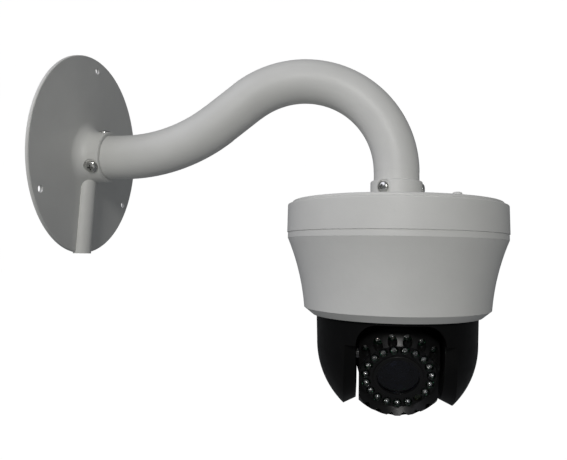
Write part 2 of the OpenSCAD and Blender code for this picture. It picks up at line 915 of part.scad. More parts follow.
module yoke_frame() {
    tab_r = shroud_r - shroud_wall - 0.05;
    wire_hole_y = 27;
    color("darkgray") difference() {
        on_pan_head() {
            ring(0, turntable_r, turntable_z, turntable_z + turntable_t);
            intersection() {
                ring(tab_r - tab_t, tab_r, skirt_screw_z - 4, turntable_z + turntable_t);
                around(4, 45) translate([0, -tab_w / 2, -cut_h]) cube([shroud_r, tab_w, cut_h]);
            }
            both_sides() translate([arm_in_x, 0, 0]) {
                translate([0, -arm_half_w, ball_z]) {
                    cube([arm_t, 2 * arm_half_w, turntable_z - ball_z + overlap]);
                }
                translate([0, 0, ball_z]) facing_x() cylinder(h = arm_t, r = arm_half_w);
            }
        }
        on_pan_head() {
            translate([0, 0, turntable_z - overlap]) {
                cylinder(h = turntable_t + 2 * overlap, r = shaft_bore_r);
                for (y = [-wire_hole_y, wire_hole_y]) translate([0, y, 0]) {
                    cylinder(h = turntable_t + 2 * overlap, r = 7);
                }
            }
            along_well(slot_w) cylinder(h = 2 * slot_w, r = bush_r + seat_gap);
        }
        shroud_screw_places() translate([0, 0, -8]) cylinder(h = 16, r = cross_screw_hole_r);
    }
}

module head_board() {
    size = [head_board_size[0], head_board_size[1], board_t];
    color("darkgreen") on_pan_head() translate([0, 0, turntable_z - head_board_drop]) difference() {
        translate([-size[0] / 2, -size[1] / 2, 0]) cube(size);
        for (p = head_board_places) translate([p[0], p[1], -overlap]) {
            cylinder(h = board_t + 2 * overlap, r = board_hole_r);
        }
    }
}

module head_board_spacers() {
    color("gold") on_pan_head() for (p = head_board_places) {
        translate([p[0], p[1], turntable_z - head_spacer_h]) {
            cylinder(h = head_spacer_h, r = standoff_r, $fn = 6);
            translate([0, 0, -board_t - 1]) cylinder(h = board_t + 1.5, r = stud_r);
        }
    }
}

module tilt_motor_mount() {
    plate = [motor_plate_t, 27, 16];
    post_y = 11;
    color("silver") on_pan_head() translate([0, 0, tilt_motor_z]) {
        difference() {
            translate([motor_plate_x, -plate[1] / 2, -plate[2] / 2]) cube(plate);
            facing_x() cylinder(h = cut_h, r = 4);
        }
        for (y = [-post_y, post_y]) translate([arm_in_x + arm_t, y, 0]) {
            facing_x() cylinder(h = motor_plate_x - arm_in_x - arm_t, r = 1.9);
        }
    }
}

module tilt_motor() {
    color("dimgray") on_pan_head() {
        translate([motor_plate_x + motor_plate_t, 0, tilt_motor_z]) facing_x() difference() {
            union() {
                ring(0, tilt_motor_r, 0, tilt_motor_len - 1.6, 0.6);
                translate([0, 0, -motor_plate_t]) cylinder(h = 2, r = 3.9);
            }
            translate([0, 0, -3]) cylinder(h = 6, r = tilt_shaft_r + running_gap);
        }
    }
}

module tilt_belt() {
    color("black") on_pan_head() translate([tilt_belt_x + (pulley_w - belt_w) / 2, 0, ball_z]) {
        rotate([90, 0, 90]) belt(tilt_pulley_r, motor_pulley_r, tilt_motor_z - ball_z);
    }
}

module tilt_bearings() {
    color("silver") on_pan_head() both_sides() translate([arm_in_x, 0, ball_z]) facing_x() {
        ring(axle_r + running_gap, bush_r, 0, arm_t);
        ring(axle_r + running_gap, bush_r + 1.2, arm_t, arm_t + 0.7);
    }
}

module tilt_motor_pulley() {
    shaft_end_x = motor_plate_x + motor_plate_t + 2;
    color("silver") on_pan_head() translate([tilt_belt_x, 0, tilt_motor_z]) facing_x() {
        pulley(motor_teeth, tilt_shaft_r - 0.5);
        translate([0, 0, -flange_t]) cylinder(h = shaft_end_x - tilt_belt_x + flange_t, r = tilt_shaft_r);
    }
}

// ---------------------------------------------------------------- camera ball

// The ball with its two flats, between two planes across the lens's axis
module ball_slice(r, half_w, z_lo, z_hi) {
    intersection() {
        sphere(r);
        translate([-half_w, -r, z_lo]) cube([2 * half_w, 2 * r, z_hi - z_lo]);
    }
}

module ring_places(from = 0, to = ring_places - 1) {
    for (i = [from : to]) rotate([0, 0, -ring_first_a - i * 360 / ring_places]) {
        translate([0, ring_r, 0]) children();
    }
}

module arc_places() {
    for (base = [0, 180], i = [0 : arc_places - 1]) {
        rotate([0, 0, base + (i - (arc_places - 1) / 2) * arc_step]) translate([0, arc_r, 0]) children();
    }
}

module post_places() {
    for (a = [55, 125, 235, 305]) rotate([0, 0, a]) translate([0, post_hub_r, 0]) children();
}

module axle_screw_places() {
    both_sides() for (p = axle_screw_places) translate([flat_x, p[1], p[0]]) facing_x() children();
}

module ball_front_shell() {
    inner_z = face_z - face_t;
    color([0.05, 0.05, 0.05]) on_lens() {
        difference() {
            intersection() {
                ball_slice(ball_r, flat_x, ball_split, mouth_z);
                union() {
                    cylinder(h = ball_r, r = cap_edge_r);
                    cylinder(h = ball_split + neck_flange_t, r = ball_r);
                }
            }
            intersection() {
                ball_slice(ball_r - ball_wall, flat_x - ball_wall, ball_split - overlap, inner_z);
                cylinder(h = ball_r, r = neck_in_r);
            }
            rotate_extrude() polygon([
                [0, face_z],
                [face_r, face_z],
                [mouth_r, mouth_z + 0.01],
                [mouth_r, ball_r],
                [0, ball_r]
            ]);
            translate([0, 0, inner_z - overlap]) cylinder(h = ball_r, r = window_r + 1.5);
            translate([0, 0, lamp_base_z - 0.1]) {
                ring_places() cylinder(h = ball_r, r = lamp_hole_r);
                arc_places() cylinder(h = ball_r, r = lamp_hole_r);
            }
            axle_screw_places() axle_screw_hole();
        }
        post_places() translate([0, 0, lamp_base_z]) cylinder(h = inner_z - lamp_base_z + 0.5, r = 1.5);
    }
}

module axle_screw_hole() {
    flush_screw_hole(axle_screw[0], axle_screw[1] + 0.1, 8);
}

module ball_rear_shell() {
    inner_r = ball_r - ball_wall;
    post_start_z = -32.5;
    post_end_z = sensor_board_z - 20;
    post_x = 14;
    color([0.05, 0.05, 0.05]) on_lens() {
        difference() {
            ball_slice(ball_r, flat_x, -ball_r, ball_split);
            ball_slice(inner_r, flat_x - ball_wall, -ball_r, ball_split + overlap);
            translate([-ball_r, 0, 0]) facing_x() cylinder(h = 2 * ball_r, r = axle_r + seat_gap);
            axle_screw_places() axle_screw_hole();
        }
        for (x = [-post_x, post_x], y = [-post_x, post_x]) translate([x, y, post_start_z]) {
            cylinder(h = post_end_z - post_start_z, r = 2.5);
        }
    }
}

module half_axle(far_x, bore_r) {
    inner_x = flat_x - ball_wall - 1.5;
    difference() {
        union() {
            translate([inner_x, 0, 0]) facing_x() cylinder(h = far_x - inner_x, r = axle_r);
            translate([inner_x, 0, 0]) facing_x() cylinder(h = 1.5, r = flange_r);
        }
        translate([inner_x - overlap, 0, 0]) facing_x() cylinder(h = far_x, r = bore_r);
        axle_screw_places() translate([0, 0, -8]) cylinder(h = 8, r = 1);
    }
}

module drive_axle() {
    color("silver") on_lens() half_axle(tilt_belt_x + pulley_w + flange_t, tilt_shaft_r - 0.3);
}

module idle_axle() {
    color("silver") on_lens() mirror([1, 0, 0]) half_axle(arm_in_x + arm_t + 3, 2.6);
}

module axle_screws() {
    length = ball_wall + 1.4;
    color("silver") on_lens() axle_screw_places() flush_screw(axle_screw[0], axle_screw[1], length);
}

module tilt_pulley() {
    color("white") on_lens() translate([tilt_belt_x, 0, 0]) facing_x() pulley(tilt_teeth, axle_r + bond_gap);
}

module led_board() {
    edge_gap = 0.6;
    color("darkgreen") on_lens() difference() {
        intersection() {
            ball_slice(ball_r - ball_wall, flat_x - ball_wall - edge_gap, led_board_z, lamp_base_z);
            cylinder(h = ball_r, r = neck_in_r - 0.3);
        }
        translate([0, 0, led_board_z - overlap]) cylinder(h = led_board_t + 2 * overlap, r = window_r + 1.6);
    }
}

module ring_lamps() {
    color("aliceblue") on_lens() translate([0, 0, lamp_base_z]) {
        ring_places(0, sensor_place - 1) lamp(ring_lamp_h);
        ring_places(sensor_place + 1) lamp(ring_lamp_h);
    }
}

module arc_lamps() {
    color("aliceblue") on_lens() translate([0, 0, lamp_base_z]) arc_places() lamp(arc_lamp_h);
}

module light_sensor() {
    color("khaki") on_lens() translate([0, 0, lamp_base_z]) ring_places(sensor_place, sensor_place) {
        cylinder(h = sensor_h, r = lamp_r);
        cylinder(h = lamp_collar[1], r = lamp_collar[0]);
    }
}

module window_rim() {
    inner_z = face_z - face_t;
    color([0.08, 0.08, 0.08]) on_lens() {
        ring(window_r, window_rim_r, face_z, face_z + 0.7, 0.4);
        ring(window_r, window_r + 1.45, inner_z - 0.4, face_z + 0.1);
        ring(window_r - 0.8, window_r + 1.45, inner_z - 1, inner_z - 0.4);
    }
}

module lens_window() {
    color([0.3, 0.35, 0.45, 0.4]) on_lens() {
        ring(0, window_r - 0.02, face_z - face_t - 0.4, face_z - 0.8, 0.2);
    }
}

module lens_barrel() {
    bore_r = 10.4;
    color([0.1, 0.1, 0.1]) on_lens() {
        ring(bore_r, barrel_r, 2, face_z - face_t - 1.4, 0.6);
        ring(bore_r, barrel_r + 1.6, 2, 5);
        ring(0, barrel_r, -2, 2);
    }
}

module front_lens() {
    color([0.2, 0.25, 0.4, 0.5]) on_lens() translate([0, 0, 13]) intersection() {
        cylinder(h = 7, r = 10.38);
        translate([0, 0, -12]) sphere(18);
    }
}

module sensor_board() {
    color("darkgreen") on_lens() translate([-19, -19, sensor_board_z]) cube([38, 38, 2]);
}

module camera_module() {
    size = [36, 36, 20];
    color("dimgray") on_lens() translate([-size[0] / 2, -size[1] / 2, sensor_board_z - size[2]]) cube(size);
}

wall_plate();
wall_collar_screws();
arm_tube();
dome_collar_screws();
top_cover();
cover_screws();
cover_gasket();
housing_ring();
seam_gasket();
lower_housing();
housing_screws();
chassis_posts();
chassis_plate();
chassis_screws();
main_board();
board_components();
board_standoffs();
pan_motor();
pan_belt();
pan_bearing_outer();
slip_ring_bracket();
slip_ring_stator();
pan_motor_pulley();
pan_shaft();
pan_bearing_inner();
shaft_collar();
pan_pulley();
slip_ring_rotor();
yoke_frame();
shroud();
shroud_screws();
head_board();
head_board_spacers();
tilt_motor_mount();
tilt_motor();
tilt_belt();
tilt_bearings();
tilt_motor_pulley();
ball_front_shell();
ball_rear_shell();
drive_axle();
idle_axle();
axle_screws();
tilt_pulley();
led_board();
ring_lamps();
arc_lamps();
light_sensor();
window_rim();
lens_window();
lens_barrel();
front_lens();
sensor_board();
camera_module();
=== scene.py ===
"""The looks of the ptz camera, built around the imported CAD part. All lengths are in metres."""

import json
import math

import bmesh
import bpy
from mathutils import Matrix, Vector


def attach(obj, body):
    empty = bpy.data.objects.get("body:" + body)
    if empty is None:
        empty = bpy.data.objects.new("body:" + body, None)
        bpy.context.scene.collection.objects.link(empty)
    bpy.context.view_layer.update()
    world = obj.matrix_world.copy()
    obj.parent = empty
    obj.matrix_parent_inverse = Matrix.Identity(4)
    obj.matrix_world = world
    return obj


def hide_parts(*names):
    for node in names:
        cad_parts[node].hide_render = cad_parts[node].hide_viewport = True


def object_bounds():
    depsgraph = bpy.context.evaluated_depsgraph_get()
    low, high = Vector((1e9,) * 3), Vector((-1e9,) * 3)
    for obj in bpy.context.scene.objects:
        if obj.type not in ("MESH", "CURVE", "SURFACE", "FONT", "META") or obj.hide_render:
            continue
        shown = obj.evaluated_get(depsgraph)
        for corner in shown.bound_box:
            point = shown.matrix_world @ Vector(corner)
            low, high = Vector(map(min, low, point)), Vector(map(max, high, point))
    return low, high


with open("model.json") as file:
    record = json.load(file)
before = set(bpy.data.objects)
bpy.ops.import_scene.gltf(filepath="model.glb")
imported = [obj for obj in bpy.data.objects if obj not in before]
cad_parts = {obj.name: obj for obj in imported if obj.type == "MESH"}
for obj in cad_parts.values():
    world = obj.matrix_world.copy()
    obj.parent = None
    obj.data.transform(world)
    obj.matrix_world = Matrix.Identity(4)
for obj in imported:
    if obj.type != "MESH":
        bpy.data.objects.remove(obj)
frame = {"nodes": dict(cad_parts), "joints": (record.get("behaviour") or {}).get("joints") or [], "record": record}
cad_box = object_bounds()

nodes = frame["nodes"]
record = frame["record"]
MM = 0.001


# ---------------------------------------------------------------- camera

CAMERA_AT = Vector((0.21756, -0.38280, -0.07081))
CAMERA_RIGHT = Vector((0.99639, 0.08335, 0.01612))
CAMERA_UP = Vector((-0.00394, -0.14437, 0.98952))
SENSOR_WIDTH = 36.0
LENS = 34.93
SHIFT_X = -0.0944
SHIFT_Y = -0.0954


def add_camera():
    """The photograph's viewpoint: from below the arm, looking up at the dome."""
    camera = bpy.data.cameras.new("camera")
    camera.sensor_width = SENSOR_WIDTH
    camera.lens = LENS
    camera.shift_x = SHIFT_X
    camera.shift_y = SHIFT_Y
    camera.clip_start = 0.01
    holder = bpy.data.objects.new("camera", camera)
    bpy.context.scene.collection.objects.link(holder)
    backward = CAMERA_RIGHT.cross(CAMERA_UP).normalized()
    turn = Matrix((CAMERA_RIGHT.normalized(), CAMERA_UP.normalized(), backward)).transposed()
    holder.matrix_world = Matrix.Translation(CAMERA_AT) @ turn.to_4x4()
    bpy.context.scene.camera = holder


# ---------------------------------------------------------------- studio

WHITE_BACKDROP = 1.0
FLOOR_DROP = 0.30
BACKDROP_RADIUS = 12.0
ROOM_COLOUR = (0.92, 0.95, 1.0)
ROOM_STRENGTH = 0.13

# Name: place, diameter, power and colour
LIGHTS = {
    "front_light": ((0.23, -1.1, 0.35), 0.25, 4.3, (1.0, 0.99, 0.97)),
    "left_light": ((-0.9, -0.8, 0.9), 1.2, 6.0, (0.90, 0.90, 1.0)),
    "low_light": ((-0.1, -1.1, -0.7), 0.8, 0.7, (1.0, 1.0, 0.95)),
}


def stage_material(name):
    """A surface that shows as plain white and takes no light of its own."""
    material = bpy.data.materials.new(name)
    material.use_nodes = True
    shader = material.node_tree.nodes["Principled BSDF"]
    shader.inputs["Base Color"].default_value = (0, 0, 0, 1)
    shader.inputs["Emission Color"].default_value = (1, 1, 1, 1)
    shader.inputs["Emission Strength"].default_value = WHITE_BACKDROP
    return material


def add_stage_piece(name, form):
    """A floor or backdrop made from a bmesh form, which the camera sees and the object doesn't."""
    mesh = bpy.data.meshes.new(name)
    form.to_mesh(mesh)
    form.free()
    mesh.materials.append(stage_material(name))
    piece = bpy.data.objects.new(name, mesh)
    bpy.context.scene.collection.objects.link(piece)
    piece.visible_diffuse = False
    piece.visible_glossy = False
    piece.visible_transmission = False
    piece.visible_shadow = False


def add_stage():
    """A pale floor and a round white backdrop."""
    form = bmesh.new()
    bmesh.ops.create_uvsphere(form, u_segments=48, v_segments=24, radius=BACKDROP_RADIUS)
    add_stage_piece("backdrop", form)
    form = bmesh.new()
    bmesh.ops.create_circle(form, cap_ends=True, segments=96, radius=0.95 * BACKDROP_RADIUS)
    bmesh.ops.translate(form, verts=form.verts, vec=(0, 0, cad_box[0].z - FLOOR_DROP))
    add_stage_piece("floor", form)


def add_area_light(name, place, size, power, colour):
    """A soft round light at place, facing the middle of the object."""
    light = bpy.data.lights.new(name, "AREA")
    light.shape = "DISK"
    light.size = size
    light.energy = power
    light.color = colour
    holder = bpy.data.objects.new(name, light)
    bpy.context.scene.collection.objects.link(holder)
    away = Vector(place) - (cad_box[0] + cad_box[1]) / 2
    holder.matrix_world = Matrix.Translation(place) @ away.to_track_quat("Z", "Y").to_matrix().to_4x4()


def add_lights():
    """Soft lights around the object and a dim, even room."""
    for name, (place, size, power, colour) in LIGHTS.items():
        add_area_light(name, place, size, power, colour)
    world = bpy.data.worlds.new("room")
    bpy.context.scene.world = world
    world.use_nodes = True
    background = world.node_tree.nodes["Background"]
    background.inputs["Color"].default_value = (*ROOM_COLOUR, 1)
    background.inputs["Strength"].default_value = ROOM_STRENGTH


# ---------------------------------------------------------------- materials

class Finish:
    """One material, with short ways to add texture nodes to it."""

    def __init__(self, name):
        self.material = bpy.data.materials.new(name)
        self.material.use_nodes = True
        self.tree = self.material.node_tree
        self.shader = self.tree.nodes["Principled BSDF"]
        self.place = self.tree.nodes.new("ShaderNodeTexCoord").outputs["Object"]

    def put(self, node, socket, value):
        """Sets a node's input to a plain value, or links it to another node's output."""
        if isinstance(value, bpy.types.NodeSocket):
            self.tree.links.new(value, node.inputs[socket])
        else:
            node.inputs[socket].default_value = value

    def add(self, kind, inputs, **settings):
        node = self.tree.nodes.new(kind)
        for key, value in settings.items():
            setattr(node, key, value)
        for socket, value in inputs.items():
            self.put(node, socket, value)
        return node

    def set(self, **inputs):
        """Sets the shader's inputs; an underscore stands for a space in a socket's name."""
        for socket, value in inputs.items():
            self.put(self.shader, socket.replace("_", " "), value)

    def noise(self, size, detail=2.0, stretch=(1, 1, 1)):
        """Cloudy noise with features about size metres across."""
        mapping = self.add("ShaderNodeMapping", {"Vector": self.place, "Scale": stretch})
        inputs = {"Vector": mapping.outputs["Vector"], "Scale": 1 / size, "Detail": detail}
        return self.add("ShaderNodeTexNoise", inputs).outputs["Fac"]

    def cells(self, size, feature="DISTANCE_TO_EDGE"):
        inputs = {"Vector": self.place, "Scale": 1 / size}
        return self.add("ShaderNodeTexVoronoi", inputs, feature=feature).outputs["Distance"]

    def spread(self, value, low, high, start=0.3, end=0.7):
        """Maps a value from start..end onto low..high, held at both ends."""
        inputs = {"Value": value, "From Min": start, "From Max": end, "To Min": low, "To Max": high}
        return self.add("ShaderNodeMapRange", inputs).outputs["Result"]

    def mix(self, factor, first, second):
        """A colour between first and second; each is a colour of three values or a socket."""
        node = self.tree.nodes.new("ShaderNodeMix")
        node.data_type = "RGBA"
        for socket, value in ((0, factor), (6, first), (7, second)):
            self.put(node, socket, (*value, 1) if isinstance(value, tuple) else value)
        return node.outputs[2]

    def bump(self, height, distance, below=None):
        """Raises the surface by up to distance metres; below is a bump that lies under this one."""
        inputs = {"Height": height, "Distance": distance, "Strength": 1.0}
        if below is not None:
            inputs["Normal"] = below
        return self.add("ShaderNodeBump", inputs).outputs["Normal"]


def shade(colour, change):
    """A colour made lighter or darker by a share of itself."""
    return tuple(min(1.0, channel * (1 + change)) for channel in colour)


def mottled(finish, colour, change, size):
    """A colour that wanders a little lighter and darker."""
    return finish.mix(finish.spread(finish.noise(size, 4.0), 0, 1), shade(colour, -change), shade(colour, change))


def powder_coat(finish, colour):
    """White powder coat: a fine grain over a soft orange peel."""
    grain = finish.noise(0.7 * MM, 3.0)
    peel = finish.bump(finish.noise(3 * MM), 0.06 * MM)
    finish.set(
        Base_Color=mottled(finish, colour, 0.025, 24 * MM),
        Roughness=finish.spread(grain, 0.38, 0.52),
        Normal=finish.bump(grain, 0.035 * MM, peel),
    )


def satin_plastic(finish, colour, roughness, specular, grain_size=0.5 * MM, grain_depth=0.012 * MM):
    """Moulded plastic with a fine spark-eroded grain and slight flow marks."""
    grain = finish.noise(grain_size, 3.0)
    flow = finish.bump(finish.noise(9 * MM), 0.05 * MM)
    finish.set(
        Base_Color=mottled(finish, colour, 0.10, 6 * MM),
        Roughness=finish.spread(finish.noise(5 * MM, 3.0), roughness - 0.06, roughness + 0.06),
        Specular_IOR_Level=specular,
        Normal=finish.bump(grain, grain_depth, flow),
    )


def white_plastic(finish, colour):
    satin_plastic(finish, colour, 0.42, 0.5)


def black_component(finish, colour):
    satin_plastic(finish, shade(colour, -0.4), 0.5, 0.4)


def black_shroud(finish, colour):
    satin_plastic(finish, shade(colour, -0.75), 0.42, 0.10, 0.8 * MM, 0.02 * MM)


def black_ball(finish, colour):
    satin_plastic(finish, shade(colour, -0.6), 0.34, 0.30, 0.6 * MM, 0.015 * MM)


def worked_metal(finish, colour, roughness, scratch_size, stretch=(1, 1, 1)):
    """Bare metal with fine tool marks."""
    marks = finish.noise(scratch_size, 4.0, stretch)
    finish.set(
        Base_Color=mottled(finish, colour, 0.06, 2.5 * MM),
        Metallic=1.0,
        Roughness=finish.spread(marks, roughness - 0.07, roughness + 0.08),
        Normal=finish.bump(marks, 0.012 * MM),
    )


def stainless_steel(finish, colour):
    worked_metal(finish, colour, 0.23, 0.35 * MM)


def brass(finish, colour):
    worked_metal(finish, colour, 0.27, 0.3 * MM, (1, 1, 4))


def aluminium(finish, colour):
    worked_metal(finish, colour, 0.38, 0.9 * MM)


def motor_steel(finish, colour):
    worked_metal(finish, colour, 0.33, 0.4 * MM, (1, 1, 0.2))


def black_rubber(finish, colour):
    """Matt rubber with a bloom of lighter dust."""
    dust = finish.spread(finish.noise(3 * MM, 5.0), 0, 1, 0.45, 0.8)
    finish.set(
        Base_Color=finish.mix(dust, colour, shade(colour, 1.2)),
        Roughness=finish.spread(finish.noise(1.5 * MM, 3.0), 0.66, 0.85),
        Specular_IOR_Level=0.3,
        Normal=finish.bump(finish.noise(0.4 * MM, 3.0), 0.02 * MM),
    )


def circuit_board(finish, colour):
    """Green resist over raised copper traces, with bright pads here and there."""
    traces = finish.spread(finish.cells(2.6 * MM), 0, 1, 0.30, 0.34)
    pads = finish.spread(finish.cells(2.1 * MM, "F1"), 1, 0, 0.16, 0.2)
    resist = finish.mix(traces, shade(colour, -0.35), shade(colour, 0.45))
    finish.set(
        Base_Color=finish.mix(pads, resist, (0.70, 0.66, 0.52)),
        Metallic=finish.spread(pads, 0, 0.9, 0, 1),
        Roughness=finish.spread(finish.noise(0.8 * MM, 3.0), 0.28, 0.42),
        Normal=finish.bump(traces, 0.03 * MM),
    )


def clear_resin(finish, colour, tint):
    """Clear moulded resin with faint haze and flow ripples."""
    finish.set(
        Base_Color=finish.mix(finish.spread(finish.noise(1.2 * MM), 0, 1), shade(tint, -0.12), tint),
        Transmission_Weight=1.0,
        IOR=1.5,
        Roughness=finish.spread(finish.noise(0.7 * MM, 3.0), 0.02, 0.09),
        Normal=finish.bump(finish.noise(1.1 * MM), 0.012 * MM),
    )


def clear_lamp(finish, colour):
    clear_resin(finish, colour, (0.93, 0.95, 0.97))


def light_cell(finish, colour):
    clear_resin(finish, colour, (0.75, 0.62, 0.28))


def lens_glass(finish, colour):
    """Coated glass, dark and a little blue."""
    finish.set(
        Base_Color=finish.mix(finish.spread(finish.noise(7 * MM), 0, 1), (0.30, 0.32, 0.42), (0.22, 0.24, 0.36)),
        Transmission_Weight=1.0,
        IOR=1.45,
        Roughness=finish.spread(finish.noise(2 * MM, 4.0), 0.005, 0.03),
        Normal=finish.bump(finish.noise(6 * MM), 0.004 * MM),
        Specular_IOR_Level=0.06,
    )


FINISHES = {
    "powder_coat": powder_coat,
    "white_plastic": white_plastic,
    "stainless_steel": stainless_steel,
    "brass": brass,
    "black_rubber": black_rubber,
    "aluminium": aluminium,
    "circuit_board": circuit_board,
    "black_component": black_component,
    "motor_steel": motor_steel,
    "black_shroud": black_shroud,
    "black_ball": black_ball,
    "clear_lamp": clear_lamp,
    "light_cell": light_cell,
    "lens_glass": lens_glass,
}


def make_materials():
    """One material for each slot of the record, in the record's base colour."""
    made = {}
    for entry in record["materials"]:
        finish = Finish(entry["slot"])
        FINISHES[entry["slot"]](finish, tuple(entry["base_color"][:3]))
        made[entry["slot"]] = finish.material
    return made


# ---------------------------------------------------------------- shapes

def lathe(form, profile, steps=48):
    """Adds to form the closed solid that a profile of (radius, height) points sweeps round the Z axis."""
    rings = []
    for radius, height in profile:
        if radius < 1e-7:
            rings.append([form.verts.new((0, 0, height))])
            continue
        angles = [2 * math.pi * step / steps for step in range(steps)]
        rings.append([form.verts.new((radius * math.cos(a), radius * math.sin(a), height)) for a in angles])
    for low, high in zip(rings, rings[1:]):
        for step in range(max(len(low), len(high))):
            after = (step + 1) % steps
            corners = [low[step % len(low)], low[after % len(low)], high[after % len(high)], high[step % len(high)]]
            form.faces.new(list(dict.fromkeys(corners)))


def arc_points(centre, radius, start, end, count):
    """Points (radius, height) along an arc, with its angles in degrees from level."""
    points = []
    for index in range(count):
        angle = math.radians(start + (end - start) * index / (count - 1))
        points.append((centre[0] + radius * math.cos(angle), centre[1] + radius * math.sin(angle)))
    return points


def ridges(radius, low, high, count, depth):
    """Profile points up a shank with count small ridges, as a thread looks from the side."""
    points = []
    pitch = (high - low) / count
    for index in range(count):
        points.append((radius - depth, low + pitch * (index + 0.15)))
        points.append((radius, low + pitch * (index + 0.5)))
        points.append((radius - depth, low + pitch * (index + 0.85)))
    return points


def finished_mesh(name, form, sharp_angle=32):
    """Turns a bmesh form into a smooth-shaded mesh with its sharp edges kept."""
    bmesh.ops.recalc_face_normals(form, faces=form.faces)
    mesh = bpy.data.meshes.new(name)
    form.to_mesh(mesh)
    form.free()
    mesh.shade_smooth()
    mesh.set_sharp_from_angle(angle=math.radians(sharp_angle))
    return mesh


def cut(mesh, cutter):
    """The mesh with the cutter's solid taken out of it."""
    body = bpy.data.objects.new("body", mesh)
    tool = bpy.data.objects.new("tool", cutter)
    for item in (body, tool):
        bpy.context.scene.collection.objects.link(item)
    modifier = body.modifiers.new("cut", "BOOLEAN")
    modifier.object = tool
    modifier.operation = "DIFFERENCE"
    modifier.solver = "EXACT"
    modifier.use_self = True
    bpy.context.view_layer.update()
    result = bpy.data.meshes.new_from_object(body.evaluated_get(bpy.context.evaluated_depsgraph_get()))
    for item in (body, tool):
        bpy.data.objects.remove(item)
    result.set_sharp_from_angle(angle=math.radians(28))
    return result


def cross_cutter(reach, width, low, high):
    """A cross-shaped recess that narrows towards its foot."""
    form = bmesh.new()
    for across in (0, math.pi / 2):
        box = bmesh.ops.create_cube(form, size=1)["verts"]
        for vert in box:
            taper = 1.0 if vert.co.z > 0 else 0.55
            vert.co.x *= 2 * reach * taper
            vert.co.y *= width * (taper + 0.12)
            vert.co.z = high if vert.co.z > 0 else low
        bmesh.ops.rotate(form, verts=box, cent=(0, 0, 0), matrix=Matrix.Rotation(across, 3, "Z"))
    return finished_mesh("cross", form)


def screw_mesh(name, head_r, head_h, shank_r, length):
    """A pan-head screw with a cross recess: its seat is at z = 0 and its ridged shank runs down."""
    edge = 0.30 * head_h
    profile = [(0, -length), (0.6 * shank_r, -length), (shank_r, -0.93 * length)]
    profile += ridges(shank_r, -0.9 * length, -0.15 * length, 7, 0.1 * shank_r)
    profile += [(0.92 * shank_r, -0.12 * length), (0.92 * shank_r, 0), (head_r - 0.05 * head_r, 0)]
    profile += [(head_r, 0.05 * head_h), (head_r, 0.32 * head_h)]
    profile += [(head_r - 0.10 * edge, 0.50 * head_h), (head_r - 0.45 * edge, 0.66 * head_h)]
    profile += [(0.80 * head_r, 0.80 * head_h), (0.60 * head_r, 0.91 * head_h), (0.35 * head_r, 0.98 * head_h)]
    profile += [(0, head_h)]
    form = bmesh.new()
    lathe(form, profile, 56)
    mesh = finished_mesh(name, form)
    return cut(mesh, cross_cutter(0.56 * head_r, 0.26 * head_r, 0.30 * head_h, 1.4 * head_h))


# ---------------------------------------------------------------- reading the CAD

def islands(node):
    """The separate solids of a CAD node, each a list of its points."""
    form = bmesh.new()
    form.from_mesh(nodes[node].data)
    bmesh.ops.remove_doubles(form, verts=form.verts, dist=1e-6)
    left = set(form.verts)
    found = []
    while left:
        stack = [left.pop()]
        points = []
        while stack:
            vert = stack.pop()
            points.append(vert.co.copy())
            for edge in vert.link_edges:
                other = edge.other_vert(vert)
                if other in left:
                    left.discard(other)
                    stack.append(other)
        found.append(points)
    form.free()
    return found


def middle(points):
    """The centre of the box around some points."""
    low = Vector([min(point[axis] for point in points) for axis in range(3)])
    high = Vector([max(point[axis] for point in points) for axis in range(3)])
    return (low + high) / 2


def facing(origin, out, side=Vector((0, 0, 1))):
    """A frame at origin whose Z axis is out and whose X axis lies across side."""
    across = side.cross(out)
    if across.length < 0.05:
        across = Vector((0, 1, 0)).cross(out)
    across.normalize()
    up = out.cross(across)
    return Matrix.Translation(origin) @ Matrix((across, up, out)).transposed().to_4x4()


def joint_named(name):
    return next(joint for joint in frame["joints"] if joint["name"] == name)


tilt = joint_named("tilt")
ball_at = Vector(tilt["pos_m"])
lens_out = (middle(islands("lens_window")[0]) - ball_at).normalized()
lens_across = Vector(tilt["axis"]).normalized()
lens_up = lens_out.cross(lens_across)
LENS_FRAME = Matrix.Translation(ball_at) @ Matrix((lens_across, lens_up, lens_out)).transposed().to_4x4()


def body_of(node):
    return next(body for body, names in record["behaviour"]["bodies"].items() if node in names)


def slot_of(node):
    return next(part["material_slot"] for part in record["subparts"] if part["node"] == node)


def add_piece(name, mesh, node, slot=None, replaces=True):
    """Puts a piece in the scene: it moves with the CAD node's body, and the node is hidden when the piece replaces it.
    """
    piece = bpy.data.objects.new(name, mesh)
    bpy.context.scene.collection.objects.link(piece)
    slot = slot or slot_of(node)
    mesh.materials.clear()
    mesh.materials.append(materials[slot])
    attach(piece, body_of(node))
    if replaces:
        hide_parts(node)


def joined(name, mesh, places):
    """One mesh that holds a copy of mesh at each place."""
    form = bmesh.new()
    for place in places:
        copy = mesh.copy()
        copy.transform(place)
        form.from_mesh(copy)
        bpy.data.meshes.remove(copy)
    result = bpy.data.meshes.new(name)
    form.to_mesh(result)
    form.free()
    result.set_sharp_from_angle(angle=math.radians(30))
    return result


# ---------------------------------------------------------------- pieces

def add_screws(node, outward):
    """Detailed screws in place of a CAD node's plain ones; outward gives a screw's direction from its centre."""
    places = []
    for points in islands(node):
        centre = middle(points)
        out = outward(centre)
        along = [(point - centre).dot(out) for point in points]
        top = max(along)
        radii = [((point - centre) - out * height).length for point, height in zip(points, along)]
        head_r = max(radii)
        seat = min(height for height, radius in zip(along, radii) if radius > 0.97 * head_r)
        foot = min(along)
        shank_r = max(radius for height, radius in zip(along, radii) if height < foot + 0.1 * MM)
        places.append(facing(centre + out * seat, out))
    mesh = screw_mesh(node, head_r, top - seat, shank_r, seat - foot)
    add_piece(node.replace("screws", "cross_screws"), joined(node, mesh, places), node)


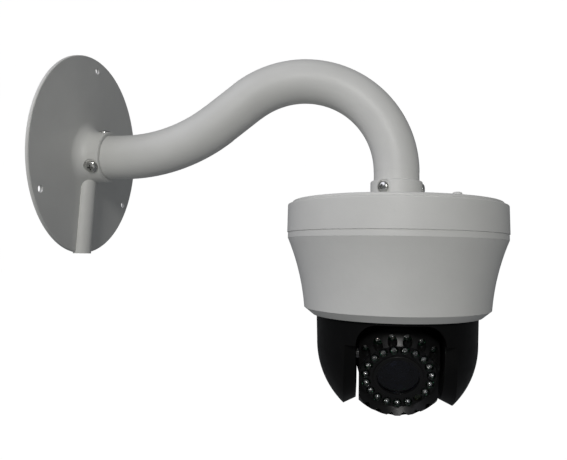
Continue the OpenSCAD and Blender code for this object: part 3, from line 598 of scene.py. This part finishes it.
def from_axis(node, axis):
    """The direction straight out to a point from the axis that a node's solids stand evenly around."""
    centres = [middle(points) for points in islands(node)]
    axis_at = sum(centres, Vector()) / len(centres)

    def outward(centre):
        away = centre - axis_at
        return (away - axis * away.dot(axis)).normalized()
    return outward


def lamp_meshes(height):
    """A 5 mm lamp with its foot at z = 0: the clear resin, and the cup, die and leads inside it."""
    body_r = 2.5 * MM
    dome_z = height - body_r
    resin = bmesh.new()
    profile = [(0, 0), (2.8 * MM, 0), (2.9 * MM, 0.1 * MM), (2.9 * MM, 0.9 * MM), (2.8 * MM, MM)]
    profile += [(body_r + 0.02 * MM, 1.05 * MM), (body_r, 1.3 * MM)]
    profile += arc_points((0, dome_z), body_r, 0, 90, 12)[:-1] + [(0, height)]
    lathe(resin, profile, 40)
    inner = bmesh.new()
    cup_z = dome_z - 0.6 * MM
    cup = [(0, cup_z - 1.3 * MM), (0.75 * MM, cup_z - 1.3 * MM), (0.95 * MM, cup_z), (0.85 * MM, cup_z)]
    cup += [(0.42 * MM, cup_z - 0.7 * MM), (0.3 * MM, cup_z - 0.7 * MM), (0.3 * MM, cup_z - 0.45 * MM)]
    cup += [(0, cup_z - 0.45 * MM)]
    lathe(inner, cup, 24)
    for side, top in ((-1, cup_z - 1.25 * MM), (1, cup_z - 0.4 * MM)):
        lead = bmesh.ops.create_cube(inner, size=1)["verts"]
        low = 0.3 * MM
        for vert in lead:
            vert.co.x = side * 1.27 * MM * (0.45 if vert.co.z > 0 else 1) + vert.co.x * 0.5 * MM
            vert.co.y *= 0.5 * MM
            vert.co.z = top if vert.co.z > 0 else low
    return finished_mesh("resin", resin), finished_mesh("frame", inner)


def add_lamps(node):
    """Clear lamps in place of a CAD node's plain ones, with their metal frames inside."""
    places = []
    for points in islands(node):
        local = [LENS_FRAME.inverted() @ point for point in points]
        centre = middle(local)
        low = min(point.z for point in local)
        height = max(point.z for point in local) - low
        places.append(LENS_FRAME @ Matrix.Translation((centre.x, centre.y, low)))
    resin, inner = lamp_meshes(height)
    add_piece(node + "_resin", joined(node, resin, places), node)
    add_piece(node + "_frames", joined(node + "_frames", inner, places), node, "stainless_steel", False)


def add_lens_parts():
    """The lens barrel with fine baffle grooves on its front and steps down its bore."""
    local = [LENS_FRAME.inverted() @ point for points in islands("lens_barrel") for point in points]
    top = max(point.z for point in local)
    foot = min(point.z for point in local)
    outer = 13.0 * MM
    bore = 10.45 * MM
    profile = [(0, foot), (outer, foot), (outer, 2 * MM), (outer + 1.6 * MM, 2 * MM), (outer + 1.6 * MM, 5 * MM)]
    profile += [(outer, 5 * MM)] + [(radius, height) for radius, height in ridges(outer, 8 * MM, 17 * MM, 9, 0.25 * MM)]
    profile += [(outer, top - 0.5 * MM), (outer - 0.5 * MM, top)]
    for index in range(4):
        groove = outer - (0.75 + 0.5 * index) * MM
        drop = 0.05 * MM * index
        profile += [(groove, top - drop), (groove - 0.1 * MM, top - drop - 0.28 * MM)]
        profile += [(groove - 0.25 * MM, top - drop - 0.28 * MM), (groove - 0.35 * MM, top - drop - 0.02 * MM)]
    profile += [(bore, top - 0.5 * MM), (bore, 12.8 * MM)]
    for index in range(6):
        step_r = bore - (index + 1) * 0.9 * MM
        step_z = (12.3 - 1.5 * index) * MM
        profile += [(step_r, step_z), (step_r, step_z - 1.0 * MM)]
    profile += [(3.2 * MM, 2.6 * MM), (0, 3.4 * MM)]
    form = bmesh.new()
    lathe(form, profile, 96)
    mesh = finished_mesh("lens_barrel", form, 20)
    mesh.transform(LENS_FRAME)
    add_piece("grooved_barrel", mesh, "lens_barrel")


# ---------------------------------------------------------------- scene

materials = make_materials()
add_camera()
add_stage()
add_lights()
bpy.context.scene.view_settings.view_transform = "Standard"

for name, node in nodes.items():
    node.data.materials.clear()
    node.data.materials.append(materials[slot_of(name)])

Z_AXIS = Vector((0, 0, 1))
X_AXIS = Vector((1, 0, 0))
add_screws("wall_collar_screws", from_axis("wall_collar_screws", X_AXIS))
add_screws("dome_collar_screws", from_axis("dome_collar_screws", Z_AXIS))
add_screws("shroud_screws", from_axis("shroud_screws", Z_AXIS))
add_screws("cover_screws", lambda centre: Z_AXIS)
add_lamps("ring_lamps")
add_lamps("arc_lamps")
add_lens_parts()
